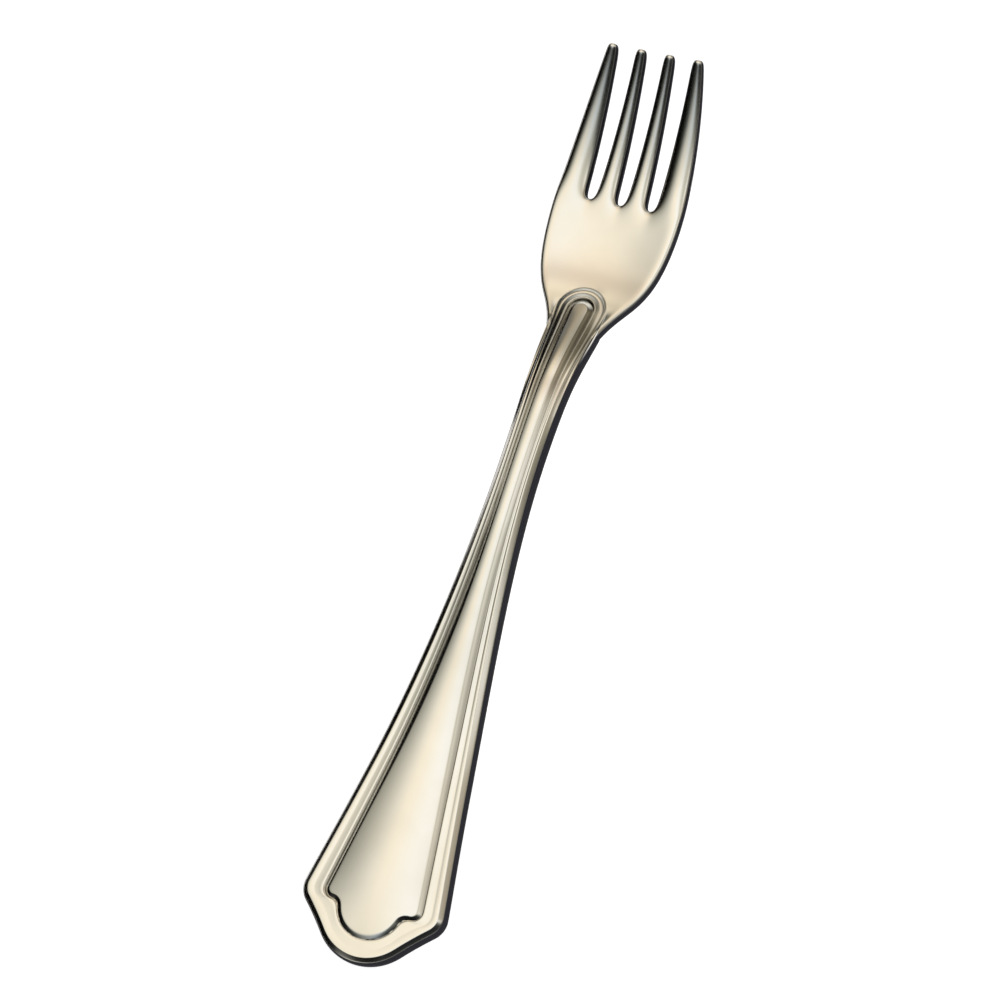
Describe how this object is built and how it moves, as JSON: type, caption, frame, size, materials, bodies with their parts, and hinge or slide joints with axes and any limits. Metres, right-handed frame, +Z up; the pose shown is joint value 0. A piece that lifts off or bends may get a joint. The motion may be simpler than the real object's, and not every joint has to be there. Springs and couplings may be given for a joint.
{
  "type": "cocktail fork",
  "caption": "Small table fork in polished stainless steel, with a beaded, flared handle and a dished palm with slender tines.",
  "frame": {"origin": "bottom centre of the bounding box: the surface that the fork lies on, under the middle of its length and width", "axes": "+Y along the fork to the tips of its tines, +X across it, +Z up, out of the hollow side of the palm"},
  "size_m": [0.0238, 0.15, 0.01],
  "materials": {
    "polished_steel": "mirror polished 18/10 stainless steel with a warm cast"
  },
  "bodies": {
    "root": {"fork": "polished_steel"}
  },
  "joints": []
}
